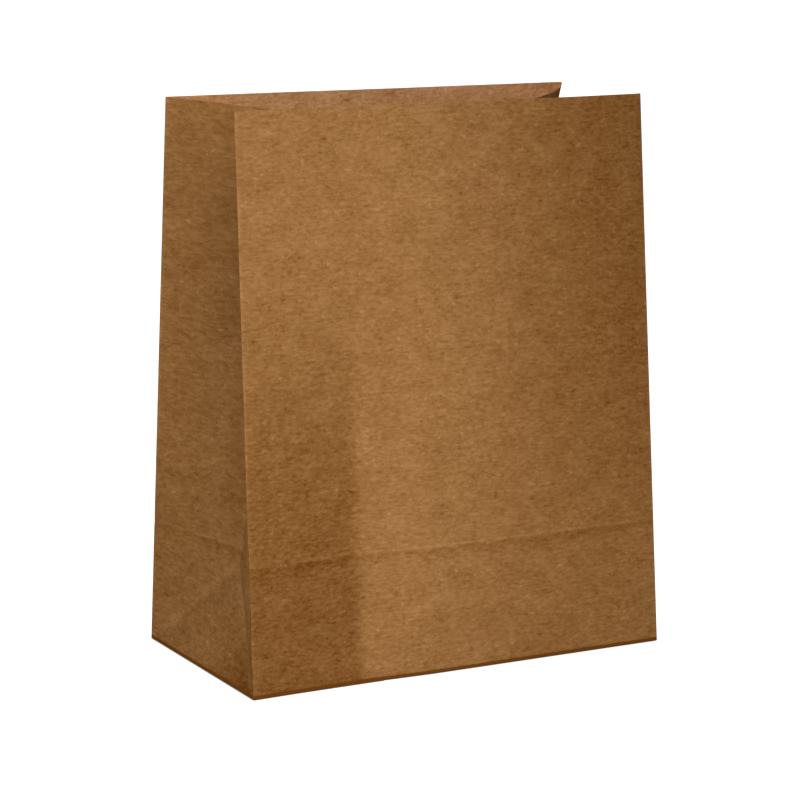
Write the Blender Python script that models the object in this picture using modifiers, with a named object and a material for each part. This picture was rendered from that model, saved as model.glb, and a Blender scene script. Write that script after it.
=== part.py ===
"""A block-bottomed paper lunch bag, standing open, folded and glued from one sheet of brown kraft paper.

Metres, +Z up. The origin is at the middle of the underside and the front panel faces -Y.
The sheet is one tube with a lap seam down the back. Each side is a gusset with an upright crease
that folds in towards the mouth, and the lower end of the tube is folded under into four glued flaps.
"""

import math

import bmesh
import bpy
from mathutils import Matrix, Vector

# The flat sizes of the folded bag.
BAG_WIDTH = 0.210
BAG_DEPTH = 0.110
BAG_HEIGHT = 0.255
PAPER_THICKNESS = 0.00012

# How far each upright fold leans towards the middle of the bag by the time it reaches the mouth.
FRONT_LEFT_LEAN = 0.0184
FRONT_RIGHT_LEAN = 0.0258
BACK_LEFT_LEAN = 0.0201
BACK_RIGHT_LEAN = 0.0219
BACK_RIGHT_TUCK = 0.0040

# Creases that the bag kept from lying flat.
GUSSET_POINT_HEIGHT = 0.050
FOLD_UP_HEIGHT = 0.058
FOLD_UP_RIDGE = 0.0004

# How far the front panel stands out from a straight line between its corners, at the mouth.
FRONT_BOW = 0.0027
# Under 1 makes the bow fuller than a half wave, so that it turns faster at its two ends.
BOW_FULLNESS = 0.7
# How far the back half of the right gusset swells out of flat, at the mouth.
RIGHT_GUSSET_SWELL = 0.0050

# The glued bottom and the lap seam.
FLAP_OVERLAP = 0.020
SEAM_WIDTH = 0.018
LAP_END_SHORT = 0.0004
GLUE_SQUEEZE = 0.1 * PAPER_THICKNESS
# How high a wall ends in the thickness of the flap that it runs into, so that the two fuse.
WALL_FOOT = 0.6 * PAPER_THICKNESS

# The fineness of the curved panels.
FOOT_ROWS = 3
ROWS = 12
PANEL_STRIPS = 4
GUSSET_STRIPS = 3
# A row that comes closer to the fold-up crease than this share of its height is left out.
LEAST_ROW_SHARE = 0.25

# Two places closer than this are one place.
TOUCHING = 1e-6

KRAFT_BROWN = (0.305, 0.147, 0.051, 1.0)
KRAFT_ROUGHNESS = 0.85

HALF_WIDTH = BAG_WIDTH / 2
HALF_DEPTH = BAG_DEPTH / 2
FLAP_LENGTH = (BAG_DEPTH + FLAP_OVERLAP) / 2
# A folded gusset presses a faint upright crease into the front and the back, half a depth from each edge.
IMPRINT = HALF_WIDTH - HALF_DEPTH
LEFT, RIGHT = -1, 1
FRONT, BACK = -1, 1
LEANS = {
    (LEFT, FRONT): FRONT_LEFT_LEAN,
    (RIGHT, FRONT): FRONT_RIGHT_LEAN,
    (LEFT, BACK): BACK_LEFT_LEAN,
    (RIGHT, BACK): BACK_RIGHT_LEAN,
}


def clear_scene():
    for obj in list(bpy.data.objects):
        bpy.data.objects.remove(obj, do_unlink=True)


def new_collection(name):
    collection = bpy.data.collections.new(name)
    bpy.context.scene.collection.children.link(collection)
    return collection


def kraft_paper():
    material = bpy.data.materials.new("kraft_paper")
    material.use_nodes = True
    shader = material.node_tree.nodes["Principled BSDF"]
    shader.inputs["Base Color"].default_value = KRAFT_BROWN
    shader.inputs["Roughness"].default_value = KRAFT_ROUGHNESS
    shader.inputs["Metallic"].default_value = 0.0
    return material


def layer_height(number):
    """The underside of a glued layer, counted up from the outermost flap, which is 0."""
    return number * (PAPER_THICKNESS - GLUE_SQUEEZE)


def fold_height(face):
    """The height of a wall's bottom fold, which stands on the flaps under its own. A side has no face."""
    layer = {BACK: 0, FRONT: 1, None: 3}[face]
    return layer_height(layer) + WALL_FOOT


def corner_point(side, face, up):
    """A point on an upright fold, up metres along the sheet from the bottom."""
    share = up / BAG_HEIGHT
    tuck = BACK_RIGHT_TUCK if (side, face) == (RIGHT, BACK) else 0.0
    lean = LEANS[side, face]
    rise = math.sqrt(BAG_HEIGHT**2 - lean**2 - tuck**2)
    x = side * (HALF_WIDTH - tuck * share)
    y = face * (HALF_DEPTH - lean * share)
    return Vector((x, y, rise * share))


def gusset_reach(side, up):
    """How far the upright crease lies from the line between the two folds beside it."""
    gap = (corner_point(side, BACK, up) - corner_point(side, FRONT, up)).length
    return math.sqrt(max(HALF_DEPTH**2 - (gap / 2) ** 2, 0.0))


def gusset_middle(side, up):
    return (corner_point(side, BACK, up) + corner_point(side, FRONT, up)) / 2


def gusset_dips(side):
    """How far the crease hangs below the folds, at the gusset's point and at the mouth.

    The crease stays as long as the sheet is, from the bottom fold to the mouth.
    """
    middle = gusset_middle(side, GUSSET_POINT_HEIGHT).z
    reach = gusset_reach(side, GUSSET_POINT_HEIGHT)
    point_z = (GUSSET_POINT_HEIGHT**2 + middle**2 - reach**2) / (2 * middle)
    point_in = math.sqrt(max(GUSSET_POINT_HEIGHT**2 - point_z**2, 0.0))
    run = gusset_reach(side, BAG_HEIGHT) - point_in
    mouth_z = point_z + math.sqrt((BAG_HEIGHT - GUSSET_POINT_HEIGHT) ** 2 - run**2)
    return middle - point_z, gusset_middle(side, BAG_HEIGHT).z - mouth_z


def crease_point(side, up):
    """A point on the upright crease of a gusset, between its point and the mouth."""
    share = (up - GUSSET_POINT_HEIGHT) / (BAG_HEIGHT - GUSSET_POINT_HEIGHT)
    low, high = gusset_dips(side)
    dip = low + (high - low) * share
    reach = gusset_reach(side, up)
    inward = math.sqrt(max(reach**2 - dip**2, 0.0))
    return gusset_middle(side, up) + Vector((-side * inward, 0.0, -dip))


def bottom_triangle_point(side, y, up):
    """A point on the triangle that leans in from the bottom fold to the gusset's point."""
    foot = Vector((side * HALF_WIDTH, y, 0.0))
    middle_foot = Vector((side * HALF_WIDTH, 0.0, 0.0))
    slope = crease_point(side, GUSSET_POINT_HEIGHT) - middle_foot
    return foot + slope * (up / GUSSET_POINT_HEIGHT)


def gusset_point(side, y, up):
    """Where a point of a flat gusset goes when the gusset folds in."""
    across = HALF_DEPTH - abs(y)
    face = BACK if y > 0 else FRONT
    fold_across = HALF_DEPTH * min(up / GUSSET_POINT_HEIGHT, 1.0)
    if across >= fold_across and up < GUSSET_POINT_HEIGHT:
        return bottom_triangle_point(side, y, up)
    start = corner_point(side, face, up)
    if up < GUSSET_POINT_HEIGHT:
        end = bottom_triangle_point(side, face * (HALF_DEPTH - fold_across), up)
    else:
        end = crease_point(side, up)
    share = across / fold_across
    point = start.lerp(end, share)
    if (side, face) == (RIGHT, BACK):
        arch = 4 * share * (1 - share)
        swell = RIGHT_GUSSET_SWELL * arch * up / BAG_HEIGHT
        along = (end - start).normalized()
        point += Vector((-along.y, along.x, 0.0)) * swell
    return point


def panel_point(face, x, up):
    """Where a point of the flat front or back panel goes."""
    share = (x + HALF_WIDTH) / BAG_WIDTH
    point = corner_point(LEFT, face, up).lerp(corner_point(RIGHT, face, up), share)
    # The strip over the left gusset stays flat, and the bow starts at its imprint.
    span = (x + IMPRINT) / (HALF_WIDTH + IMPRINT)
    if face == FRONT and 0 < span < 1:
        point.y -= FRONT_BOW * (up / BAG_HEIGHT) * math.sin(math.pi * span) ** BOW_FULLNESS
    if abs(up - FOLD_UP_HEIGHT) < TOUCHING:
        point.y += face * FOLD_UP_RIDGE
    return point


def folded(flat):
    """Takes a point of the upright box to its place on the folded bag."""
    on_side = abs(abs(flat.x) - HALF_WIDTH) < TOUCHING
    on_face = abs(abs(flat.y) - HALF_DEPTH) < TOUCHING
    side = RIGHT if flat.x > 0 else LEFT
    face = BACK if flat.y > 0 else FRONT
    if on_side and on_face:
        point = corner_point(side, face, flat.z)
    elif on_side:
        point = gusset_point(side, flat.y, flat.z)
    else:
        point = panel_point(face, flat.x, flat.z)
    if flat.z < TOUCHING:
        point.z = fold_height(face if on_face else None)
    return point


def cut(bm, faces, through, normal):
    """Adds a crease where a plane crosses the faces."""
    parts = set(faces)
    for face in faces:
        parts.update(face.edges)
        parts.update(face.verts)
    bmesh.ops.bisect_plane(bm, geom=list(parts), dist=TOUCHING, plane_co=through, plane_no=normal)


def side_faces(bm, top=BAG_HEIGHT):
    return [f for f in bm.faces if abs(f.normal.x) > 0.5 and f.calc_center_median().z < top]


def panel_faces(bm):
    return [f for f in bm.faces if abs(f.normal.y) > 0.5]


def spread(low, high, count):
    """The count - 1 places that divide a length into count equal strips."""
    return [low + (high - low) * i / count for i in range(1, count)]


def flat_walls():
    """The four walls as an upright box with no top or bottom, cut along every crease."""
    bm = bmesh.new()
    size = Matrix.Diagonal((BAG_WIDTH, BAG_DEPTH, BAG_HEIGHT, 1.0))
    bmesh.ops.create_cube(bm, size=1.0, matrix=Matrix.Translation((0, 0, BAG_HEIGHT / 2)) @ size)
    ends = [f for f in bm.faces if abs(f.normal.z) > 0.5]
    bmesh.ops.delete(bm, geom=ends, context="FACES_ONLY")
    bm.normal_update()

    levels = spread(0.0, GUSSET_POINT_HEIGHT, FOOT_ROWS)
    levels += spread(GUSSET_POINT_HEIGHT, BAG_HEIGHT, ROWS)
    levels = [z for z in levels if abs(z - FOLD_UP_HEIGHT) > LEAST_ROW_SHARE * BAG_HEIGHT / ROWS]
    for z in levels + [GUSSET_POINT_HEIGHT, FOLD_UP_HEIGHT]:
        cut(bm, list(bm.faces), (0, 0, z), (0, 0, 1))

    uprights = [-IMPRINT, IMPRINT, -SEAM_WIDTH / 2, SEAM_WIDTH / 2]
    uprights += spread(-HALF_WIDTH, -IMPRINT, 2) + spread(IMPRINT, HALF_WIDTH, 2)
    uprights += spread(-IMPRINT, -SEAM_WIDTH / 2, PANEL_STRIPS)
    uprights += spread(SEAM_WIDTH / 2, IMPRINT, PANEL_STRIPS)
    for x in uprights:
        cut(bm, panel_faces(bm), (x, 0, 0), (1, 0, 0))

    uprights = [0.0] + spread(-HALF_DEPTH, 0.0, GUSSET_STRIPS) + spread(0.0, HALF_DEPTH, GUSSET_STRIPS)
    for y in uprights:
        cut(bm, side_faces(bm), (0, y, 0), (0, 1, 0))
    for face in (FRONT, BACK):
        low = side_faces(bm, GUSSET_POINT_HEIGHT)
        half = [f for f in low if f.calc_center_median().y * face > 0]
        # The diagonal runs from the foot of an upright fold to the gusset's point.
        cut(bm, half, (0, face * HALF_DEPTH, 0), (0, face * GUSSET_POINT_HEIGHT, HALF_DEPTH))
    return bm


def object_of(bm, name, collection):
    mesh = bpy.data.meshes.new(name)
    bm.to_mesh(mesh)
    bm.free()
    obj = bpy.data.objects.new(name, mesh)
    collection.objects.link(obj)
    return obj


def give_thickness(obj, thickness, offset):
    solidify = obj.modifiers.new("paper", "SOLIDIFY")
    solidify.thickness = thickness
    solidify.offset = offset
    solidify.use_even_offset = True


def helper(obj):
    obj.hide_render = True
    obj.display_type = "WIRE"
    return obj


def walls(collection):
    bm = flat_walls()
    for vert in bm.verts:
        vert.co = folded(vert.co)
    obj = object_of(bm, "paper_bag", collection)
    give_thickness(obj, PAPER_THICKNESS, -1.0)
    return obj


def lap_seam(collection):
    """The second layer of paper where the sheet's two edges lap, glued down the back panel."""
    bm = flat_walls()
    strip = [f for f in panel_faces(bm) if f.normal.y > 0 and abs(f.calc_center_median().x) < SEAM_WIDTH / 2]
    bmesh.ops.delete(bm, geom=[f for f in bm.faces if f not in strip], context="FACES")
    for vert in bm.verts:
        vert.co.z = min(max(vert.co.z, LAP_END_SHORT), BAG_HEIGHT - LAP_END_SHORT)
        vert.co = folded(vert.co)
    obj = object_of(bm, "lap_seam", collection)
    # The layer reaches half a thickness into the wall, so that the two fuse.
    give_thickness(obj, 1.5 * PAPER_THICKNESS, 1 / 3)
    return helper(obj)


def flap(name, collection, x_range, y_range, layers, mitres=()):
    """One flat layer of the bottom, which fills the layers from the first to the last that are given.

    Each mitre is a corner of the bag as (side, face), where the layer was folded at 45 degrees.
    """
    bm = bmesh.new()
    bmesh.ops.create_grid(bm, x_segments=1, y_segments=1, size=1.0)
    for vert in bm.verts:
        vert.co.x = max(x_range) if vert.co.x > 0 else min(x_range)
        vert.co.y = max(y_range) if vert.co.y > 0 else min(y_range)
        vert.co.z = layer_height(layers[0])
    for side, face in mitres:
        # A fold sits one paper thickness further in for each layer that wraps round it.
        step = layers[0] * PAPER_THICKNESS
        corner = (side * (HALF_WIDTH - step), face * HALF_DEPTH, 0.0)
        geom = bm.verts[:] + bm.edges[:] + bm.faces[:]
        bmesh.ops.bisect_plane(
            bm, geom=geom, dist=TOUCHING, plane_co=corner, plane_no=(side, -face, 0), clear_outer=True
        )
    obj = object_of(bm, name, collection)
    give_thickness(obj, layer_height(layers[1]) + PAPER_THICKNESS - layer_height(layers[0]), 1.0)
    return helper(obj)


def bottom(collection):
    """The flaps: two sides innermost, with the folded corners under them, then the front and the back."""
    # A flap's fold lies in the middle of the wall's thickness.
    x_fold = HALF_WIDTH - PAPER_THICKNESS / 2
    y_fold = HALF_DEPTH - PAPER_THICKNESS / 2
    x_free = HALF_WIDTH - FLAP_LENGTH
    y_free = HALF_DEPTH - FLAP_LENGTH
    made = []
    for side, side_name in ((LEFT, "left"), (RIGHT, "right")):
        across = (side * x_fold, side * x_free)
        made.append(flap(f"{side_name}_flap", collection, across, (-y_fold, y_fold), (3, 3)))
        for face, face_name, layers in ((FRONT, "front", (2, 2)), (BACK, "back", (1, 2))):
            deep = (face * y_fold, face * y_free)
            name = f"{face_name}_{side_name}_corner"
            made.append(flap(name, collection, across, deep, layers, [(side, face)]))
    for face, name, layer in ((FRONT, "front_flap", 1), (BACK, "back_flap", 0)):
        deep = (face * y_fold, face * y_free)
        mitres = [(LEFT, face), (RIGHT, face)]
        made.append(flap(name, collection, (-x_fold, x_fold), deep, (layer, layer), mitres))
    return made


def join(obj, others):
    for other in others:
        union = obj.modifiers.new(other.name, "BOOLEAN")
        union.operation = "UNION"
        union.solver = "EXACT"
        union.object = other
        # Where the walls meet at the foot of a fold, their inner corners can cross themselves.
        union.use_self = True


def main():
    clear_scene()
    bag_collection = new_collection("paper_lunch_bag")
    layer_collection = new_collection("glued_layers")
    layer_collection.hide_render = True
    bag = walls(bag_collection)
    bag.data.materials.append(kraft_paper())
    join(bag, bottom(layer_collection) + [lap_seam(layer_collection)])


main()
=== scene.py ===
"""The looks of a brown kraft paper lunch bag that stands open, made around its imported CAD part.

Metres, +Z up, as the part. The bag is folded from one flat sheet, as the real one is: the sheet starts
as an upright tube that runs on below the bottom fold, every crease is cut into it, and its points are
then moved to where the creases take them.
"""

import math

import bmesh
import bpy
from bpy.props import FloatProperty, FloatVectorProperty, PointerProperty
from mathutils import Matrix, Vector


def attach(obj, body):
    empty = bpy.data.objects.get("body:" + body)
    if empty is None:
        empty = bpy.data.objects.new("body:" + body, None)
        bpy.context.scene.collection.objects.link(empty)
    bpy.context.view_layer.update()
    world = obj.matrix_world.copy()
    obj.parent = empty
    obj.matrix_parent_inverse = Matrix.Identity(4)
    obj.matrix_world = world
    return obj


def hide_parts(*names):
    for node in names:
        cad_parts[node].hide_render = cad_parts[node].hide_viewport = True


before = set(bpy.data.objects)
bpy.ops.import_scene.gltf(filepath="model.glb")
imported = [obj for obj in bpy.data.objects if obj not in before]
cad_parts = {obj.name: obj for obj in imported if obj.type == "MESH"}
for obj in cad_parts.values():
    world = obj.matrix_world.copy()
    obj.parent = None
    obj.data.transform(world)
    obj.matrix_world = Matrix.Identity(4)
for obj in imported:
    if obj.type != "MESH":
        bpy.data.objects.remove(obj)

bl_info = {
    "name": "Paper lunch bag",
    "version": (1, 0, 0),
    "blender": (4, 5, 0),
    "location": "3D View > Sidebar > Paper bag",
    "description": "Folds a gusseted kraft paper bag from one sheet and sets up a plain studio for it",
    "category": "Object",
}

NODE = "paper_bag"
PIECE = "folded_paper_bag"

# How far each upright fold leans towards the middle of the bag by the time it reaches the mouth.
FRONT_LEFT_LEAN = 0.0184
FRONT_RIGHT_LEAN = 0.0258
BACK_LEFT_LEAN = 0.0201
BACK_RIGHT_LEAN = 0.0219
BACK_RIGHT_TUCK = 0.0040

# The back right fold bends in a little more just below the mouth.
MOUTH_BEND = 0.0022
MOUTH_BEND_BELOW = 0.009
MOUTH_BEND_SPREAD = 0.007

# Creases that the bag kept from lying flat.
GUSSET_POINT_HEIGHT = 0.050
FOLD_UP_HEIGHT = 0.058

# How far the front bows out at the mouth, how full that bow is, and how far the back half of the right
# gusset swells there.
FRONT_BOW = 0.0027
BOW_FULLNESS = 0.7
RIGHT_GUSSET_SWELL = 0.0064

# The shallow valley that the folded gusset pressed into the lower front.
VALLEY_DEPTH = 0.0050
VALLEY_REACH = 0.034
VALLEY_SOFTNESS = 0.22
VALLEY_TOP = 0.200
VALLEY_FULL = 0.110
VALLEY_AT_FOOT = 0.30
VALLEY_FOOT_RISE = 0.022

# The fold-up crease stands out as a low ridge, which fades towards the upright folds.
RIDGE_HEIGHT = 0.00045
RIDGE_BELOW = 0.006
RIDGE_ABOVE = 0.014
RIDGE_TIP = 0.0005
RIDGE_FADE = 0.15

# A pinch in the gusset beside the front left fold, and a nick beside the back left one.
PINCH_DEPTH = 0.0016
PINCH_HEIGHT = 0.049
PINCH_SPREAD = 0.011
PINCH_ACROSS = 0.0030
NICK_DEPTH = 0.0011
NICK_SPREAD = 0.0016
NICK_ACROSS = 0.0040

# Slow waves in the paper: depth, half waves from the middle to a fold and up the panel, and their start.
WAVES = (
    (0.00035, 1.3, 0.9, 0.4),
    (0.00025, 0.7, 2.1, 2.3),
    (0.00016, 2.9, 1.7, 4.1),
)
WAVES_FULL_FROM = 0.25

# The fold's roundness, the spacing of the mesh, and how close two places are one place.
FOLD_ROUND = 0.0009
FOLD_STEPS = 6
SPACING = 0.004
TOUCHING = 1e-6

# How much of a face's normal lies along an axis for the face to count as facing that way, and the angle
# below which neighbouring faces are shaded as one.
FACING = 0.5
SMOOTH_BELOW = math.radians(32)

LEFT, RIGHT = -1, 1
FRONT, BACK = -1, 1
LEANS = {
    (LEFT, FRONT): FRONT_LEFT_LEAN,
    (RIGHT, FRONT): FRONT_RIGHT_LEAN,
    (LEFT, BACK): BACK_LEFT_LEAN,
    (RIGHT, BACK): BACK_RIGHT_LEAN,
}
# Which layer of the glued bottom each flap is, counted up from the outermost.
BACK_LAYER, FRONT_LAYER, SIDE_LAYER = 0, 1, 3

# The attribute that keeps each point's place on the flat sheet, which the paper's pattern follows.
SHEET_PLACE = "sheet_place"

# The attribute that is 1 on the side of the paper that faces into the bag.
INNER_SIDE = "inner_side"


# Sizes and colours that a user would change.


class PaperBagSizes(bpy.types.PropertyGroup):
    """The flat sizes of the folded bag."""

    width: FloatProperty(
        name="Width",
        description="Width of the front panel between its folds",
        default=0.210,
        min=0.05,
        unit="LENGTH",
    )
    depth: FloatProperty(
        name="Depth",
        description="Depth of the bottom, front to back",
        default=0.110,
        min=0.03,
        unit="LENGTH",
    )
    height: FloatProperty(
        name="Height",
        description="Length of the sheet from the bottom fold to the mouth",
        default=0.255,
        min=0.10,
        unit="LENGTH",
    )
    paper: FloatProperty(
        name="Paper",
        description="Thickness of the paper",
        default=0.00012,
        min=0.00005,
        precision=5,
        unit="LENGTH",
    )
    overlap: FloatProperty(
        name="Flap overlap",
        description="How far the front and back flaps of the bottom overlap",
        default=0.020,
        min=0.0,
        unit="LENGTH",
    )
    seam: FloatProperty(
        name="Lap seam",
        description="Width of the glued seam down the back",
        default=0.018,
        min=0.005,
        unit="LENGTH",
    )


class KraftLook(bpy.types.PropertyGroup):
    """The colour and finish of the kraft paper."""

    colour: FloatVectorProperty(
        name="Paper",
        description="Mean colour of the paper",
        default=(0.276, 0.127, 0.039),
        size=3,
        min=0.0,
        max=1.0,
        subtype="COLOR",
    )
    # The palest colour also takes the painted sheen on the front and the painted highlight on the folds.
    light: FloatVectorProperty(
        name="Light fibres",
        description="Colour of the palest fibres and of worn folds",
        default=(0.415, 0.215, 0.082),
        size=3,
        min=0.0,
        max=1.0,
        subtype="COLOR",
    )
    # The darkest colour also takes the painted shade and the painted shadow along the bottom fold.
    dark: FloatVectorProperty(
        name="Dark fibres",
        description="Colour of the darkest fibres",
        default=(0.155, 0.052, 0.007),
        size=3,
        min=0.0,
        max=1.0,
        subtype="COLOR",
    )
    # The inner side's gain is partly the paper's own paler side and partly painted light, for light that
    # shines through the paper into the bag.
    inside: FloatVectorProperty(
        name="Inner side",
        description="How many times as bright the paler side is that faces into the bag: red, green, blue",
        default=(2.25, 2.50, 3.40),
        size=3,
        min=0.0,
        max=5.0,
    )
    roughness: FloatProperty(
        name="Roughness",
        description="Roughness of the pressed paper surface",
        default=0.55,
        min=0.0,
        max=1.0,
        subtype="FACTOR",
    )


class StageLook(bpy.types.PropertyGroup):
    """The colour of the floor, and the strengths of the lamps and of the room light."""

    floor: FloatVectorProperty(
        name="Floor",
        description="Colour of the floor",
        default=(0.86, 0.86, 0.86),
        size=3,
        min=0.0,
        max=1.0,
        subtype="COLOR",
    )
    high: FloatProperty(
        name="High lamp",
        description="Power of the soft lamp above the front, to the left",
        default=1.75,
        min=0.0,
        unit="POWER",
    )
    low: FloatProperty(
        name="Low lamp",
        description="Power of the small lamp close to the front",
        default=0.37,
        min=0.0,
        unit="POWER",
    )
    side: FloatProperty(
        name="Side lamp",
        description="Power of the small lamp to the left",
        default=0.44,
        min=0.0,
        unit="POWER",
    )
    sky: FloatProperty(
        name="Room light",
        description="Strength of the even light from all round",
        default=0.25,
        min=0.0,
        subtype="FACTOR",
    )


# Where the creases take a point of the sheet.


def smooth(value, start, end):
    """0 at the start, 1 at the end, easing in and out between them."""
    share = min(max((value - start) / (end - start), 0.0), 1.0)
    return share * share * (3 - 2 * share)


def bell(distance, spread):
    return math.exp(-((distance / spread) ** 2))


def rounded(before, corner, after, share):
    """A point on the round of a fold, from the point before it, past its corner, to the point after it."""
    return before.lerp(corner, share).lerp(corner.lerp(after, share), share)


class BagShape:
    """The folded shape of a bag of given flat sizes."""

    def __init__(self, sizes):
        self.half_width = sizes.width / 2
        self.half_depth = sizes.depth / 2
        self.height = sizes.height
        self.paper = sizes.paper
        self.flap_length = (sizes.depth + sizes.overlap) / 2
        # A folded gusset presses an upright line into the front and back, half a depth from each edge.
        self.imprint = self.half_width - self.half_depth

    def corner(self, side, face, up):
        """A point on an upright fold, up metres along the sheet from the bottom."""
        share = up / self.height
        tuck = BACK_RIGHT_TUCK if (side, face) == (RIGHT, BACK) else 0.0
        lean = LEANS[side, face]
        rise = math.sqrt(self.height**2 - lean**2 - tuck**2)
        x = side * (self.half_width - tuck * share)
        if tuck:
            x -= side * MOUTH_BEND * bell(self.height - MOUTH_BEND_BELOW - up, MOUTH_BEND_SPREAD)
        y = face * (self.half_depth - lean * share)
        return Vector((x, y, rise * share))

    def gusset_reach(self, side, up):
        """How far the upright crease lies from the line between the two folds beside it."""
        gap = (self.corner(side, BACK, up) - self.corner(side, FRONT, up)).length
        return math.sqrt(max(self.half_depth**2 - (gap / 2) ** 2, 0.0))

    def gusset_middle(self, side, up):
        return (self.corner(side, BACK, up) + self.corner(side, FRONT, up)) / 2

    def gusset_dips(self, side):
        """How far the crease hangs below the folds, at the gusset's point and at the mouth."""
        middle = self.gusset_middle(side, GUSSET_POINT_HEIGHT).z
        reach = self.gusset_reach(side, GUSSET_POINT_HEIGHT)
        point_z = (GUSSET_POINT_HEIGHT**2 + middle**2 - reach**2) / (2 * middle)
        point_in = math.sqrt(max(GUSSET_POINT_HEIGHT**2 - point_z**2, 0.0))
        run = self.gusset_reach(side, self.height) - point_in
        mouth_z = point_z + math.sqrt((self.height - GUSSET_POINT_HEIGHT) ** 2 - run**2)
        return middle - point_z, self.gusset_middle(side, self.height).z - mouth_z

    def crease(self, side, up):
        """A point on the upright crease of a gusset, between its point and the mouth."""
        share = (up - GUSSET_POINT_HEIGHT) / (self.height - GUSSET_POINT_HEIGHT)
        low, high = self.gusset_dips(side)
        dip = low + (high - low) * share
        reach = self.gusset_reach(side, up)
        inward = math.sqrt(max(reach**2 - dip**2, 0.0))
        return self.gusset_middle(side, up) + Vector((-side * inward, 0.0, -dip))

    def bottom_triangle(self, side, y, up):
        """A point on the triangle that leans in from the bottom fold to the gusset's point."""
        foot = Vector((side * self.half_width, y, 0.0))
        middle_foot = Vector((side * self.half_width, 0.0, 0.0))
        slope = self.crease(side, GUSSET_POINT_HEIGHT) - middle_foot
        return foot + slope * (up / GUSSET_POINT_HEIGHT)

    def gusset(self, side, y, up):
        """Where a point of a flat gusset goes when the gusset folds in, with its dents."""
        point = self.plain_gusset(side, y, up)
        if side == LEFT:
            point.x += self.left_dents(y, up)
        return point

    def plain_gusset(self, side, y, up):
        """Where a point of a flat gusset goes, with only the slow swell beside the back right fold."""
        across = self.half_depth - abs(y)
        face = BACK if y > 0 else FRONT
        fold_across = self.half_depth * min(up / GUSSET_POINT_HEIGHT, 1.0)
        if across >= fold_across and up < GUSSET_POINT_HEIGHT:
            return self.bottom_triangle(side, y, up)
        start = self.corner(side, face, up)
        if up < GUSSET_POINT_HEIGHT:
            end = self.bottom_triangle(side, face * (self.half_depth - fold_across), up)
        else:
            end = self.crease(side, up)
        share = across / fold_across
        point = start.lerp(end, share)
        if (side, face) == (RIGHT, BACK):
            arch = 4 * share * (1 - share)
            along = (end - start).normalized()
            swell = RIGHT_GUSSET_SWELL * arch * up / self.height
            point += Vector((-along.y, along.x, 0.0)) * swell
        return point

    def left_dents(self, y, up):
        """How far the left gusset is pushed in beside its folds."""
        from_front = self.half_depth + y
        from_back = self.half_depth - y
        pinch = from_front / PINCH_ACROSS * math.exp(1 - from_front / PINCH_ACROSS)
        nick = from_back / NICK_ACROSS * math.exp(1 - from_back / NICK_ACROSS)
        dent = PINCH_DEPTH * pinch * bell(up - PINCH_HEIGHT, PINCH_SPREAD)
        return dent + NICK_DEPTH * nick * bell(up - FOLD_UP_HEIGHT, NICK_SPREAD)

    def panel(self, face, x, up):
        """Where a point of the flat front or back panel goes."""
        share = (x + self.half_width) / (2 * self.half_width)
        point = self.corner(LEFT, face, up).lerp(self.corner(RIGHT, face, up), share)
        point.y += face * self.relief(face, x, up)
        return point

    def relief(self, face, x, up):
        """How far a panel stands out of the plane between its folds."""
        edge = min(self.half_width - abs(x), self.half_depth) / self.half_depth
        high = up / self.height
        out = 0.0
        for depth, across, along, start in WAVES:
            turn = across * x / self.half_width + along * high
            out += depth * math.sin(math.pi * turn + start + face)
        out *= smooth(edge, 0.0, 1.0) * smooth(high, 0.0, WAVES_FULL_FROM)
        below = FOLD_UP_HEIGHT - up
        tent = 1 - (below / RIDGE_BELOW if below > 0 else -below / RIDGE_ABOVE)
        out += RIDGE_HEIGHT * max(tent, 0.0) * smooth(edge, 0.0, RIDGE_FADE)
        if face == FRONT:
            span = (x + self.imprint) / (self.half_width + self.imprint)
            if 0 < span < 1:
                out += FRONT_BOW * high * math.sin(math.pi * span) ** BOW_FULLNESS
            out -= self.valley(x, up)
        return out

    def valley(self, x, up):
        """How deep the front is along the line that the folded gusset pressed into it."""
        from_fold = (x + self.half_width) / self.half_depth
        from_reach = 1 - (x + self.imprint) / VALLEY_REACH
        gap = max(VALLEY_SOFTNESS - abs(from_fold - from_reach), 0.0) / VALLEY_SOFTNESS
        across = min(from_fold, from_reach) - gap * gap * VALLEY_SOFTNESS / 4
        foot = VALLEY_AT_FOOT + (1 - VALLEY_AT_FOOT) * smooth(up, 0.0, VALLEY_FOOT_RISE)
        return VALLEY_DEPTH * max(across, 0.0) * foot * smooth(up, VALLEY_TOP, VALLEY_FULL)

    def layer(self, number):
        """The underside of a layer of the glued bottom."""
        return number * self.paper

    def wall(self, flat, up):
        """Where a wall's point goes at a given height, with its upright folds and creases rounded."""
        side = RIGHT if flat.x > 0 else LEFT
        face = BACK if flat.y > 0 else FRONT
        past_panel = self.half_width - abs(flat.x)
        past_side = self.half_depth - abs(flat.y)
        if past_panel < FOLD_ROUND - TOUCHING and past_side < FOLD_ROUND - TOUCHING:
            before = self.panel(face, side * (self.half_width - FOLD_ROUND), up)
            after = self.gusset(side, face * (self.half_depth - FOLD_ROUND), up)
            share = (FOLD_ROUND - past_panel + past_side) / (2 * FOLD_ROUND)
            return rounded(before, self.corner(side, face, up), after, share)
        if past_side < TOUCHING:
            return self.panel(face, flat.x, up)
        if abs(flat.y) < FOLD_ROUND and up > GUSSET_POINT_HEIGHT:
            before = self.gusset(side, -FOLD_ROUND, up)
            after = self.gusset(side, FOLD_ROUND, up)
            share = (flat.y + FOLD_ROUND) / (2 * FOLD_ROUND)
            return rounded(before, self.crease(side, up), after, share)
        return self.gusset(side, flat.y, up)

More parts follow.
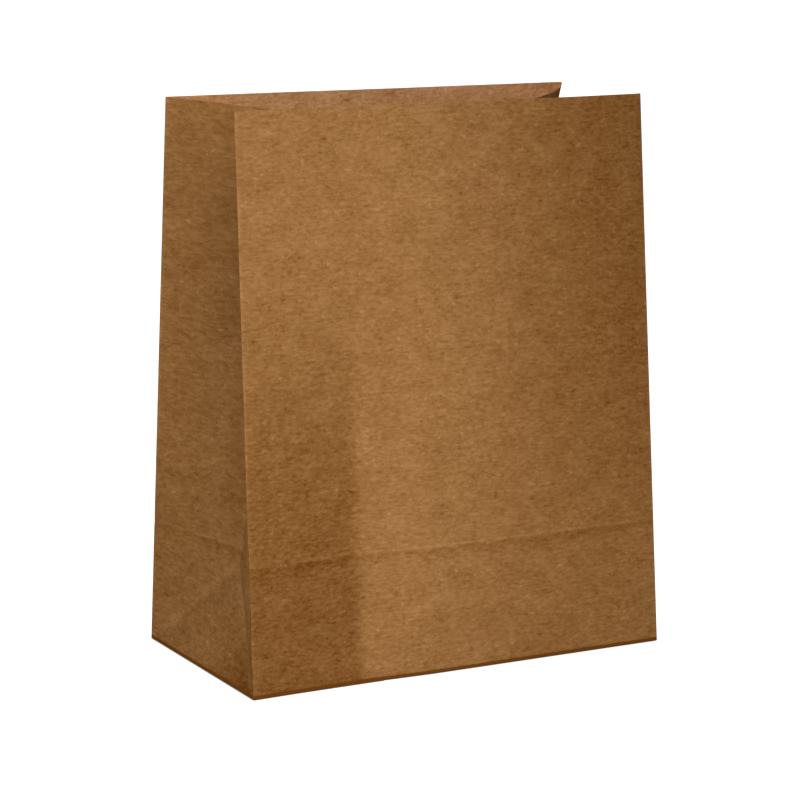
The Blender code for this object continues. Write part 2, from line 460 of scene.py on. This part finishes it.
    def flap(self, flat, under, on_side):
        """Where a point goes that lies under metres past the bottom fold, on a side flap or another."""
        side = RIGHT if flat.x > 0 else LEFT
        face = BACK if flat.y > 0 else FRONT
        if on_side:
            y = math.copysign(min(abs(flat.y), self.half_depth - FOLD_ROUND), flat.y)
            return Vector((side * (self.half_width - under), y, self.layer(SIDE_LAYER)))
        x = math.copysign(min(abs(flat.x), self.half_width - FOLD_ROUND), flat.x)
        out = self.relief(face, x, 0.0) * (1 - smooth(under, 0.0, self.half_depth / 2))
        number = BACK_LAYER if face == BACK else FRONT_LAYER
        return Vector((x, face * (self.half_depth - under + out), self.layer(number)))

    def foot(self, flat, on_side):
        """The corner of the bottom fold, as high as the flap that the wall ends in."""
        point = self.wall(flat, 0.0)
        point.z = self.flap(flat, 0.0, on_side).z
        return point

    def under_fold(self, flat, on_side):
        """The end of the bottom fold's round. At an upright fold it goes from one flap to the other."""
        past_panel = self.half_width - abs(flat.x)
        past_side = self.half_depth - abs(flat.y)
        if past_panel < FOLD_ROUND - TOUCHING and past_side < FOLD_ROUND - TOUCHING:
            share = (FOLD_ROUND - past_panel + past_side) / (2 * FOLD_ROUND)
            before = self.flap(flat, FOLD_ROUND, False)
            return before.lerp(self.flap(flat, FOLD_ROUND, True), share)
        return self.flap(flat, FOLD_ROUND, on_side)

    def place(self, flat, on_side):
        """Takes a point of the upright tube to its place on the folded bag."""
        if flat.z >= FOLD_ROUND - TOUCHING:
            return self.wall(flat, flat.z)
        if flat.z <= TOUCHING - FOLD_ROUND:
            return self.flap(flat, -flat.z, on_side)
        share = (FOLD_ROUND - flat.z) / (2 * FOLD_ROUND)
        start = self.wall(flat, FOLD_ROUND)
        return rounded(start, self.foot(flat, on_side), self.under_fold(flat, on_side), share)


# Modelling steps.


def deselect_all():
    bpy.ops.object.select_all(action="DESELECT")


def choose(element_type, mesh_object, wanted):
    """In edit mode, selects the faces or edges that are wanted, and nothing else."""
    bpy.ops.mesh.select_mode(type=element_type)
    bpy.ops.mesh.select_all(action="DESELECT")
    mesh = bmesh.from_edit_mesh(mesh_object.data)
    for element in mesh.faces if element_type == "FACE" else mesh.edges:
        if wanted(element):
            element.select_set(True)
    mesh.select_flush_mode()
    bmesh.update_edit_mesh(mesh_object.data)


def slice_chosen(place, normal, clear_outer=False):
    bpy.ops.mesh.bisect(plane_co=place, plane_no=normal, threshold=TOUCHING, clear_outer=clear_outer)


def slice_all(places, axis):
    """In edit mode, cuts the whole mesh square to an axis at each place along it."""
    for place in places:
        spot = [0.0, 0.0, 0.0]
        normal = [0.0, 0.0, 0.0]
        spot[axis] = place
        normal[axis] = 1.0
        bpy.ops.mesh.select_all(action="SELECT")
        slice_chosen(spot, normal)


def spread(low, high, spacing):
    """Places that divide a length into equal parts of about that spacing, with its ends left out."""
    count = max(round((high - low) / spacing), 1)
    return [low + (high - low) * i / count for i in range(1, count)]


def round_places(middle):
    """The places across a fold that give its round."""
    return [middle + FOLD_ROUND * (2 * i / FOLD_STEPS - 1) for i in range(FOLD_STEPS + 1)]


def between(lines, spacing):
    """Evenly spaced places between neighbouring lines."""
    lines = sorted(lines)
    places = []
    for low, high in zip(lines, lines[1:]):
        places += spread(low, high, spacing)
    return places


def finish_mesh_step():
    bpy.ops.object.mode_set(mode="OBJECT")


def thicken(mesh_object, thickness, offset):
    solidify = mesh_object.modifiers.new("paper", "SOLIDIFY")
    solidify.thickness = thickness
    solidify.offset = offset
    solidify.use_even_offset = True
    solidify.thickness_clamp = 0.0
    bpy.context.view_layer.objects.active = mesh_object
    bpy.ops.object.modifier_apply(modifier=solidify.name)


def flat_tube(shape):
    """The sheet as an upright tube that runs on below the bottom fold, with every crease cut into it."""
    wide, deep = shape.half_width, shape.half_depth
    top, end = shape.height, -shape.flap_length
    deselect_all()
    bpy.ops.mesh.primitive_cube_add(
        size=1.0, location=(0, 0, (top + end) / 2), scale=(2 * wide, 2 * deep, top - end)
    )
    bpy.ops.object.transform_apply(location=True, rotation=True, scale=True)
    tube = bpy.context.object
    tube.name = PIECE
    bpy.ops.object.mode_set(mode="EDIT")
    choose("FACE", tube, lambda face: abs(face.normal.z) > FACING)
    bpy.ops.mesh.delete(type="ONLY_FACE")

    bottom_fold = round_places(0.0)
    ridge = [FOLD_UP_HEIGHT - RIDGE_BELOW, FOLD_UP_HEIGHT - RIDGE_TIP, FOLD_UP_HEIGHT + RIDGE_TIP]
    nick = [FOLD_UP_HEIGHT - NICK_SPREAD, FOLD_UP_HEIGHT + NICK_SPREAD]
    levels = bottom_fold + ridge + nick + [GUSSET_POINT_HEIGHT, FOLD_UP_HEIGHT + RIDGE_ABOVE]
    slice_all(levels + between([end] + levels + [top], SPACING), 2)

    side_folds = [x for x in round_places(-wide) + round_places(wide) if abs(x) < wide - TOUCHING]
    uprights = side_folds + [-shape.imprint, shape.imprint]
    slice_all(uprights + between(uprights, SPACING), 0)

    deep_folds = [y for y in round_places(-deep) + round_places(deep) if abs(y) < deep - TOUCHING]
    uprights = deep_folds + round_places(0.0)
    slice_all(uprights + between(uprights, SPACING), 1)

    for side in (LEFT, RIGHT):
        for face in (FRONT, BACK):
            cut_corner(tube, shape, side, face)
    choose("EDGE", tube, lambda edge: is_loose_corner(edge, shape))
    bpy.ops.mesh.edge_split(type="EDGE")
    finish_mesh_step()
    return tube


def cut_corner(tube, shape, side, face):
    """Creases a gusset from an upright fold's foot to the gusset's point, and mitres the flap below."""
    foot = Vector((side * shape.half_width, face * shape.half_depth, 0.0))

    def in_gusset(f):
        middle = f.calc_center_median()
        on_gusset = f.normal.x * side > FACING and middle.y * face > 0
        return on_gusset and 0 < middle.z < GUSSET_POINT_HEIGHT

    def in_flap(f):
        return f.normal.y * face > FACING and f.calc_center_median().z < 0

    choose("FACE", tube, in_gusset)
    slice_chosen(foot, (0, face * GUSSET_POINT_HEIGHT, shape.half_depth))
    choose("FACE", tube, in_flap)
    slice_chosen(foot, (side, 0, -1), clear_outer=True)


def is_loose_corner(edge, shape):
    """Whether an edge is where two flaps part below an upright fold."""
    for vert in edge.verts:
        on_fold = (
            abs(abs(vert.co.x) - shape.half_width) < TOUCHING
            and abs(abs(vert.co.y) - shape.half_depth) < TOUCHING
        )
        if not on_fold or vert.co.z > TOUCHING:
            return False
    return True


def keep_sheet_place(mesh_object):
    """Writes each point's place on the flat sheet to the mesh, before the sheet is folded."""
    mesh = mesh_object.data
    attribute = mesh.attributes.new(SHEET_PLACE, "FLOAT_VECTOR", "POINT")
    for vert in mesh.vertices:
        attribute.data[vert.index].vector = vert.co


def mark_inner_side(mesh_object, outer_count):
    """Writes 1 to the points of the inner side, which thickening has added after the outer ones."""
    mesh = mesh_object.data
    attribute = mesh.attributes.new(INNER_SIDE, "FLOAT", "POINT")
    for index in range(outer_count, len(mesh.vertices)):
        attribute.data[index].value = 1.0


def fold(tube, shape):
    """Moves every point of the tube to its place on the folded bag."""
    mesh = bmesh.new()
    mesh.from_mesh(tube.data)
    for vert in mesh.verts:
        on_side = any(
            abs(face.normal.x) > FACING and face.calc_center_median().z < FOLD_ROUND
            for face in vert.link_faces
        ) and not any(abs(face.normal.y) > FACING for face in vert.link_faces)
        vert.tag = on_side
    places = [shape.place(vert.co, vert.tag) for vert in mesh.verts]
    for vert, place in zip(mesh.verts, places):
        vert.co = place
    mesh.to_mesh(tube.data)
    mesh.free()


def lap_seam(tube, shape, width):
    """The second layer of paper where the sheet's two edges lap, glued down the back panel."""
    deselect_all()
    tube.select_set(True)
    bpy.context.view_layer.objects.active = tube
    bpy.ops.object.duplicate()
    strip = bpy.context.object
    strip.name = "lap_seam"
    keep = strip.data.attributes[SHEET_PLACE].data
    spots = [keep[vert.index].vector.copy() for vert in strip.data.vertices]
    bpy.ops.object.mode_set(mode="EDIT")

    def outside(face):
        on_back = all(spots[v.index].y > shape.half_depth - TOUCHING for v in face.verts)
        in_reach = all(
            abs(spots[v.index].x) < width / 2 + TOUCHING and spots[v.index].z > 0.0 for v in face.verts
        )
        return not (on_back and in_reach)

    choose("FACE", strip, outside)
    bpy.ops.mesh.delete(type="FACE")
    finish_mesh_step()
    thicken(strip, shape.paper, 1.0)
    return strip


def corner_triangle(shape, side, face):
    """The folded end of a front or back flap, glued between it and the side flap."""
    wide, deep = shape.half_width, shape.half_depth
    inset = FOLD_ROUND
    x_near, x_far = side * (wide - inset), side * (wide - shape.flap_length)
    y_near, y_far = face * (deep - inset), face * (deep - shape.flap_length)
    number = FRONT_LAYER + 1 if face == FRONT else BACK_LAYER + 1
    deselect_all()
    bpy.ops.mesh.primitive_plane_add(
        size=1.0, location=((x_near + x_far) / 2, (y_near + y_far) / 2, shape.layer(number))
    )
    triangle = bpy.context.object
    triangle.name = "corner_triangle"
    triangle.scale = (abs(x_near - x_far), abs(y_near - y_far), 1.0)
    bpy.ops.object.transform_apply(location=True, rotation=True, scale=True)
    keep_sheet_place(triangle)
    bpy.ops.object.mode_set(mode="EDIT")
    bpy.ops.mesh.select_all(action="SELECT")
    slice_chosen((side * wide, face * deep, 0.0), (side, -face, 0), clear_outer=True)
    finish_mesh_step()
    thicken(triangle, (SIDE_LAYER - number) * shape.paper, 1.0)
    return triangle


# The paper's material. Its places are in metres on the flat sheet.

# A tone is 0 for the darkest fibres, 1 for the palest ones, and this for the paper's mean colour.
MIDDLE_TONE = 0.5

# The fibres: how much they are squeezed up the sheet, their scale and detail, and how strongly they show.
FIBRES = (
    ("clouds", 1.5, 70.0, 3.0, 0.5),
    ("streaks", 8.0, 130.0, 3.0, 0.45),
    ("grain", 2.0, 330.0, 3.0, 0.95),
    ("fine", 1.0, 1500.0, 2.0, 0.45),
)
FIBRE_RAGGEDNESS = 0.6

# Flecks, which start at one value of their noise, are full at another, and change the tone from 0 to
# the last number.
FLECK_SQUEEZE = 1.6
FLECK_SCALE = 300.0
FLECK_DETAIL = 1.0
FLECK_RAGGEDNESS = 0.5
DARK_FLECKS = (0.66, 0.76, 0.0, 0.20)
PALE_FLECKS = (0.32, 0.26, 0.0, 0.22)

# How far the grain changes the paper's roughness, and how its fibres raise its surface.
UNEVEN_ROUGHNESS = 0.25
BUMP_STRENGTH = 0.35
BUMP_HEIGHT = 0.0002
BUMP_SHARE = 0.5

# From where to where a mark fades in. ON_PANEL is measured off a panel's plane and keeps a mark on that
# panel. The rest fade in marks of painted light and shade: the painted shade beside the valley is measured
# from the line that the folded gusset pressed into the front, PINCH_FADE from the front left fold, and the
# two values of the painted shade below the fold-up crease down from that crease.
ON_PANEL = (0.0002, 0.0001)
VALLEY_SHADE_FADE = (0.006, -0.005)
SHEEN_FADE = (0.050, -0.020)
FAR_SHADE_FADE = (0.015, 0.095)
FAR_SHADE_RISE = (0.0, 0.17)
CREASE_SHADE_ABOVE = (-0.0004, 0.0010)
CREASE_SHADE_BELOW = (0.0065, 0.0012)
CONTACT_SHADOW_FADE = (0.0024, 0.0012)
PINCH_FADE = (0.0065, 0.0015)
PINCH_FADE_UP = (0.030, 0.006)
LOW_CORNER_SHADE_RISE = (0.040, 0.0)

# How far each mark changes the tone at most: below 0 it darkens the paper. All but the last mark are
# painted light and shade. The last pales the folds, partly as worn paper and partly as painted highlight.
# Painted shade on the front's lower left, beside the valley that the folded gusset pressed in.
VALLEY_SHADE_TONE = -0.34
# A painted sheen, paler over the front's left and middle.
SHEEN_TONE = 0.12
# Painted shade towards the front's upper right.
FAR_SHADE_TONE = -0.20
# Painted shade in a band just below the fold-up crease.
CREASE_SHADE_TONE = -0.13
# A painted shadow along the bottom fold, where the bag meets the floor.
CONTACT_SHADOW_TONE = -1.0
# Painted shade in the pinch beside the front left fold.
PINCH_SHADE_TONE = -0.6
# Painted shade low on the left gusset's front half, darkest at the bottom by the front fold.
LOW_CORNER_SHADE_TONE = -0.45
# Paler folds, partly worn paper and partly a painted highlight where the folds catch the light.
WEAR_AND_HIGHLIGHT_TONE = 0.45

# Where the paler band beside a fold starts and where it is full, and how strong it is at each. The band is
# partly worn paper and partly a painted highlight where the folds catch the light.
FOLD_WEAR_AND_HIGHLIGHT = (0.0024, 0.0003, 0.0, 0.35)
RIDGE_WEAR_AND_HIGHLIGHT = (0.0012, 0.0002, 0.0, 0.35)
DIAGONAL_WEAR_AND_HIGHLIGHT = (0.0070, 0.0005, 0.0, 0.38)

# The paler band, worn and highlit alike, comes and goes along a fold.
PATCH_SCALE = 120.0
PATCH_DETAIL = 3.0
PATCHES = (0.30, 0.62, 0.25, 1.0)

# A Mix node has several sockets of one name, so they are told apart by number.
MIX_NUMBERS = (2, 3)
MIX_COLOURS = (6, 7)
MIX_COLOUR_OUT = 2


class Nodes:
    """Adds nodes to a material and links them as it goes."""

    def __init__(self, material):
        material.use_nodes = True
        self.tree = material.node_tree
        self.shader = self.tree.nodes["Principled BSDF"]

    def feed(self, socket, value):
        if isinstance(value, bpy.types.NodeSocket):
            self.tree.links.new(value, socket)
        else:
            socket.default_value = value

    def math(self, operation, first, second=0.0, clamp=False):
        node = self.tree.nodes.new("ShaderNodeMath")
        node.operation = operation
        node.use_clamp = clamp
        self.feed(node.inputs[0], first)
        self.feed(node.inputs[1], second)
        return node.outputs[0]

    def add(self, first, second, clamp=False):
        return self.math("ADD", first, second, clamp)

    def subtract(self, first, second):
        return self.math("SUBTRACT", first, second)

    def multiply(self, first, second):
        return self.math("MULTIPLY", first, second)

    def mark(self, tone, where, change):
        """The tone with a mark on it, which is full where a value is 1."""
        return self.add(tone, self.multiply(where, change))

    def attribute(self, name):
        node = self.tree.nodes.new("ShaderNodeAttribute")
        node.attribute_name = name
        return node

    def axes(self, vector):
        node = self.tree.nodes.new("ShaderNodeSeparateXYZ")
        self.feed(node.inputs[0], vector)
        return node.outputs

    def noise(self, vector, squeeze, scale, detail, roughness):
        """Noise whose blots are squeezed up the sheet."""
        squeezed = self.tree.nodes.new("ShaderNodeMapping")
        self.feed(squeezed.inputs["Vector"], vector)
        squeezed.inputs["Scale"].default_value = (1.0, 1.0, squeeze)
        node = self.tree.nodes.new("ShaderNodeTexNoise")
        self.feed(node.inputs["Vector"], squeezed.outputs[0])
        node.inputs["Scale"].default_value = scale
        node.inputs["Detail"].default_value = detail
        node.inputs["Roughness"].default_value = roughness
        return node.outputs["Fac"]

    def ramp(self, value, low, high, to_low=0.0, to_high=1.0):
        node = self.tree.nodes.new("ShaderNodeMapRange")
        node.interpolation_type = "SMOOTHSTEP"
        self.feed(node.inputs["Value"], value)
        node.inputs["From Min"].default_value = low
        node.inputs["From Max"].default_value = high
        node.inputs["To Min"].default_value = to_low
        node.inputs["To Max"].default_value = to_high
        return node.outputs["Result"]


def moved(places, distance):
    """Places along an axis, all moved the same way along it."""
    return [place + distance for place in places]


def kraft_paper(look, shape):
    """Brown kraft paper, cloudy, streaked and flecked with fibres, with painted shade, shadow and sheen,
    paler inside, partly by its own paler side and partly by painted light, and paler on its folds, partly
    worn and partly by painted highlight.
    """
    material = bpy.data.materials.new("kraft_paper")
    nodes = Nodes(material)
    place = nodes.attribute(SHEET_PLACE).outputs["Vector"]

    fibres = {}
    tone = MIDDLE_TONE
    for name, squeeze, scale, detail, strength in FIBRES:
        fibres[name] = nodes.noise(place, squeeze, scale, detail, FIBRE_RAGGEDNESS)
        tone = nodes.mark(tone, nodes.subtract(fibres[name], MIDDLE_TONE), strength)

    flecks = nodes.noise(place, FLECK_SQUEEZE, FLECK_SCALE, FLECK_DETAIL, FLECK_RAGGEDNESS)
    tone = nodes.subtract(tone, nodes.ramp(flecks, *DARK_FLECKS))
    tone = nodes.add(tone, nodes.ramp(flecks, *PALE_FLECKS))

    # Painted light and shade: painted shade, a painted shadow along the bottom fold and a painted sheen.
    tone = nodes.add(tone, painted_light_and_shade(nodes, place, shape))
    # Paler folds, partly worn paper and partly a painted highlight where the folds catch the light.
    wear_and_highlight = worn_and_highlit_folds(nodes, place, shape)
    tone = nodes.add(tone, nodes.multiply(wear_and_highlight, WEAR_AND_HIGHLIGHT_TONE), clamp=True)

    colours = nodes.tree.nodes.new("ShaderNodeValToRGB")
    nodes.feed(colours.inputs["Fac"], tone)
    darkest, palest = colours.color_ramp.elements
    darkest.position, darkest.color = 0.0, (*look.dark, 1.0)
    palest.position, palest.color = 1.0, (*look.light, 1.0)
    middle = colours.color_ramp.elements.new(MIDDLE_TONE)
    middle.color = (*look.colour, 1.0)
    # The inner side is made paler, partly as painted light.
    nodes.feed(nodes.shader.inputs["Base Color"], paler_and_lit_inside(nodes, look, colours.outputs["Color"]))

    nodes.shader.inputs["Metallic"].default_value = 0.0
    nodes.shader.inputs["Specular IOR Level"].default_value = 0.0
    rough = nodes.multiply(nodes.subtract(fibres["grain"], MIDDLE_TONE), UNEVEN_ROUGHNESS)
    nodes.feed(nodes.shader.inputs["Roughness"], nodes.add(rough, look.roughness))

    bump = nodes.tree.nodes.new("ShaderNodeBump")
    bump.inputs["Strength"].default_value = BUMP_STRENGTH
    bump.inputs["Distance"].default_value = BUMP_HEIGHT
    height = nodes.add(fibres["grain"], nodes.multiply(fibres["streaks"], BUMP_SHARE))
    nodes.feed(bump.inputs["Height"], nodes.add(height, nodes.multiply(fibres["fine"], BUMP_SHARE)))
    nodes.feed(nodes.shader.inputs["Normal"], bump.outputs["Normal"])
    return material


def paler_and_lit_inside(nodes, look, colour):
    """The paper's colour, made paler on the side that faces into the bag, partly as the paper's own paler
    side and partly as painted light for light that shines through the paper.
    """
    mix = nodes.tree.nodes.new("ShaderNodeMix")
    mix.data_type = "RGBA"
    mix.blend_type = "MULTIPLY"
    nodes.feed(mix.inputs["Factor"], nodes.attribute(INNER_SIDE).outputs["Fac"])
    nodes.feed(mix.inputs[MIX_COLOURS[0]], colour)
    nodes.feed(mix.inputs[MIX_COLOURS[1]], (*look.inside, 1.0))
    return mix.outputs[MIX_COLOUR_OUT]


def painted_light_and_shade(nodes, place, shape):
    """Painted light and shade in the paper's tone: painted shade on the front's lower left and upper right,
    below the fold-up crease, in the pinch and low on the left gusset, a painted shadow along the bottom
    fold, and a painted sheen over the front.
    """
    x, y, z = nodes.axes(place)

    # Painted shade on the front's lower left, beside the valley that the folded gusset pressed in.
    valley_shade = nodes.ramp(x, *moved(VALLEY_SHADE_FADE, -shape.imprint))
    low = nodes.ramp(z, VALLEY_TOP, VALLEY_FULL / 2)
    tone = nodes.multiply(nodes.multiply(valley_shade, low), VALLEY_SHADE_TONE)
    # A painted sheen over the front's left and middle.
    tone = nodes.add(tone, nodes.ramp(x, *SHEEN_FADE, 0.0, SHEEN_TONE))
    # Painted shade towards the front's upper right.
    far_shade = nodes.multiply(nodes.ramp(x, *FAR_SHADE_FADE), nodes.ramp(z, *FAR_SHADE_RISE))
    tone = nodes.mark(tone, far_shade, FAR_SHADE_TONE)
    on_front = nodes.ramp(y, *moved(ON_PANEL, -shape.half_depth))
    tone = nodes.multiply(tone, on_front)

    # Painted shade in a band just below the fold-up crease.
    below = nodes.subtract(FOLD_UP_HEIGHT, z)
    line = nodes.multiply(nodes.ramp(below, *CREASE_SHADE_ABOVE), nodes.ramp(below, *CREASE_SHADE_BELOW))
    tone = nodes.mark(tone, line, CREASE_SHADE_TONE)
    # A painted shadow along the bottom fold, where the bag meets the floor.
    bottom_fold = nodes.ramp(nodes.math("ABSOLUTE", z), *CONTACT_SHADOW_FADE)
    tone = nodes.mark(tone, bottom_fold, CONTACT_SHADOW_TONE)

    # Painted shade in the pinch beside the front left fold.
    on_left = nodes.ramp(x, *moved(ON_PANEL, -shape.half_width))
    beside_fold = nodes.ramp(y, *moved(PINCH_FADE, -shape.half_depth))
    from_pinch = nodes.math("ABSOLUTE", nodes.subtract(z, PINCH_HEIGHT))
    pinch = nodes.multiply(nodes.multiply(on_left, beside_fold), nodes.ramp(from_pinch, *PINCH_FADE_UP))
    tone = nodes.mark(tone, pinch, PINCH_SHADE_TONE)
    # Painted shade low on the left gusset's front half, darkest at the bottom by the front fold.
    low_corner_shade = nodes.multiply(nodes.ramp(y, 0.0, -shape.half_depth), nodes.ramp(z, *LOW_CORNER_SHADE_RISE))
    return nodes.mark(tone, nodes.multiply(low_corner_shade, on_left), LOW_CORNER_SHADE_TONE)


def worn_and_highlit_folds(nodes, place, shape):
    """How pale the folds are made, partly worn and partly by a painted highlight: strongest on the folds,
    and 0 away from them.
    """
    x, y, z = nodes.axes(place)
    past_panel = nodes.subtract(shape.half_width, nodes.math("ABSOLUTE", x))
    past_side = nodes.subtract(shape.half_depth, nodes.math("ABSOLUTE", y))
    from_fold = nodes.add(past_panel, past_side)
    wear_and_highlight = nodes.ramp(from_fold, *FOLD_WEAR_AND_HIGHLIGHT)

    from_ridge = nodes.math("ABSOLUTE", nodes.subtract(z, FOLD_UP_HEIGHT))
    wear_and_highlight = nodes.math("MAXIMUM", wear_and_highlight, nodes.ramp(from_ridge, *RIDGE_WEAR_AND_HIGHLIGHT))

    run = nodes.multiply(z, shape.half_depth / GUSSET_POINT_HEIGHT)
    from_diagonal = nodes.math("ABSOLUTE", nodes.subtract(past_side, run))
    diagonal = nodes.multiply(nodes.ramp(from_diagonal, *DIAGONAL_WEAR_AND_HIGHLIGHT), nodes.ramp(past_panel, *ON_PANEL))
    wear_and_highlight = nodes.math("MAXIMUM", wear_and_highlight, diagonal)

    patches = nodes.ramp(nodes.noise(place, 1.0, PATCH_SCALE, PATCH_DETAIL, FIBRE_RAGGEDNESS), *PATCHES)
    return nodes.multiply(wear_and_highlight, patches)


# The operators, and what they need of the stage.


class FoldPaperBag(bpy.types.Operator):
    """Fold the whole bag from one sheet: walls, gussets, glued bottom and lap seam"""

    bl_idname = "object.fold_paper_bag"
    bl_label = "Fold the bag"

    def execute(self, context):
        sizes = context.scene.paper_bag_sizes
        shape = BagShape(sizes)
        tube = flat_tube(shape)
        keep_sheet_place(tube)
        fold(tube, shape)
        layers = [lap_seam(tube, shape, sizes.seam)]
        for side in (LEFT, RIGHT):
            for face in (FRONT, BACK):
                layers.append(corner_triangle(shape, side, face))
        outer_count = len(tube.data.vertices)
        thicken(tube, shape.paper, -1.0)
        mark_inner_side(tube, outer_count)

        deselect_all()
        for layer in layers:
            layer.select_set(True)
        tube.select_set(True)
        context.view_layer.objects.active = tube
        bpy.ops.object.join()
        bpy.ops.object.shade_smooth_by_angle(angle=SMOOTH_BELOW)
        tube.data.materials.clear()
        tube.data.materials.append(kraft_paper(context.scene.kraft_look, shape))
        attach(tube, "root")
        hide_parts(NODE)
        return {"FINISHED"}


CAMERA_PLACE = (-0.6285, -1.1423, 0.3749)
CAMERA_YAW = math.radians(28.68)
CAMERA_PITCH = math.radians(11.31)
CAMERA_ROLL = math.radians(0.54)
CAMERA_LENS = 130.2
SENSOR_WIDTH = 36.0
CAMERA_NEAR = 0.05
CAMERA_FAR = 50.0

FLOOR_REACH = 6.0
FLOOR_ROUGHNESS = 0.9
LAMP_TARGET = (0.0, 0.0, 0.12)
# Each lamp's name, which is also the stage setting of its power, with its place and size.
LAMPS = (
    ("high", (-0.22, -0.37, 0.54), 0.30),
    ("low", (-0.05, -0.36, 0.08), 0.14),
    ("side", (-0.50, -0.09, 0.10), 0.15),
)

# How far from the bag the floor starts to darken where the two meet.
CONTACT_REACH = 0.006


class SetPlainStage(bpy.types.Operator):
    """Set up the pale floor, the room light, the soft lamps and the camera"""

    bl_idname = "scene.set_plain_stage"
    bl_label = "Set the stage"

    def execute(self, context):
        look = context.scene.stage_look
        deselect_all()
        bpy.ops.mesh.primitive_plane_add(size=2 * FLOOR_REACH, location=(0, 0, 0))
        floor = context.object
        floor.name = "floor"
        floor.data.materials.append(floor_material(look))
        set_room_light(context.scene, look)
        for name, place, size in LAMPS:
            add_lamp(f"{name}_lamp", place, size, getattr(look, name))
        add_camera(context.scene)
        context.scene.view_settings.view_transform = "Standard"
        return {"FINISHED"}


def floor_material(look):
    """A floor that the camera sees as plain white, apart from the dark line where the bag meets it."""
    material = bpy.data.materials.new("floor")
    nodes = Nodes(material)
    nodes.feed(nodes.shader.inputs["Base Color"], (*look.floor, 1.0))
    nodes.shader.inputs["Roughness"].default_value = FLOOR_ROUGHNESS
    nodes.shader.inputs["Specular IOR Level"].default_value = 0.0
    path = nodes.tree.nodes.new("ShaderNodeLightPath")
    contact = nodes.tree.nodes.new("ShaderNodeAmbientOcclusion")
    contact.inputs["Distance"].default_value = CONTACT_REACH
    glow = nodes.multiply(path.outputs["Is Camera Ray"], contact.outputs["AO"])
    nodes.feed(nodes.shader.inputs["Emission Color"], (1.0, 1.0, 1.0, 1.0))
    nodes.feed(nodes.shader.inputs["Emission Strength"], glow)
    return material


def set_room_light(scene, look):
    """The even light of a white room, which the camera sees as plain white."""
    world = bpy.data.worlds.new("white_room")
    scene.world = world
    world.use_nodes = True
    tree = world.node_tree
    background = tree.nodes["Background"]
    background.inputs["Color"].default_value = (1.0, 1.0, 1.0, 1.0)
    path = tree.nodes.new("ShaderNodeLightPath")
    strength = tree.nodes.new("ShaderNodeMix")
    strength.inputs[MIX_NUMBERS[0]].default_value = look.sky
    strength.inputs[MIX_NUMBERS[1]].default_value = 1.0
    tree.links.new(path.outputs["Is Camera Ray"], strength.inputs["Factor"])
    tree.links.new(strength.outputs["Result"], background.inputs["Strength"])


def add_lamp(name, place, size, power):
    """A square soft lamp that points at the bag and stays out of the picture."""
    toward = Vector(LAMP_TARGET) - Vector(place)
    bpy.ops.object.light_add(
        type="AREA", location=place, rotation=toward.to_track_quat("-Z", "Y").to_euler()
    )
    lamp = bpy.context.object
    lamp.name = name
    lamp.data.shape = "SQUARE"
    lamp.data.size = size
    lamp.data.energy = power
    lamp.visible_camera = False


def add_camera(scene):
    turn = (
        Matrix.Rotation(-CAMERA_YAW, 3, "Z")
        @ Matrix.Rotation(math.pi / 2 - CAMERA_PITCH, 3, "X")
        @ Matrix.Rotation(CAMERA_ROLL, 3, "Z")
    )
    bpy.ops.object.camera_add(location=CAMERA_PLACE, rotation=turn.to_euler())
    camera = bpy.context.object
    camera.data.lens = CAMERA_LENS
    camera.data.sensor_width = SENSOR_WIDTH
    camera.data.clip_start = CAMERA_NEAR
    camera.data.clip_end = CAMERA_FAR
    scene.camera = camera


class PaperBagPanel(bpy.types.Panel):
    """The bag's sizes, its paper and its stage"""

    bl_idname = "VIEW3D_PT_paper_bag"
    bl_label = "Paper lunch bag"
    bl_space_type = "VIEW_3D"
    bl_region_type = "UI"
    bl_category = "Paper bag"

    def draw(self, context):
        scene = context.scene
        groups = (
            (scene.paper_bag_sizes, FoldPaperBag),
            (scene.kraft_look, None),
            (scene.stage_look, SetPlainStage),
        )
        for settings, operator in groups:
            box = self.layout.box()
            for name in settings.__annotations__:
                box.prop(settings, name)
            if operator:
                box.operator(operator.bl_idname)


CLASSES = (PaperBagSizes, KraftLook, StageLook, FoldPaperBag, SetPlainStage, PaperBagPanel)


def register():
    for cls in CLASSES:
        bpy.utils.register_class(cls)
    bpy.types.Scene.paper_bag_sizes = PointerProperty(type=PaperBagSizes)
    bpy.types.Scene.kraft_look = PointerProperty(type=KraftLook)
    bpy.types.Scene.stage_look = PointerProperty(type=StageLook)


def unregister():
    del bpy.types.Scene.stage_look
    del bpy.types.Scene.kraft_look
    del bpy.types.Scene.paper_bag_sizes
    for cls in reversed(CLASSES):
        bpy.utils.unregister_class(cls)


def main():
    register()
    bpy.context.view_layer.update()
    bpy.ops.object.fold_paper_bag()
    bpy.ops.scene.set_plain_stage()


if __name__ == "__main__":
    main()
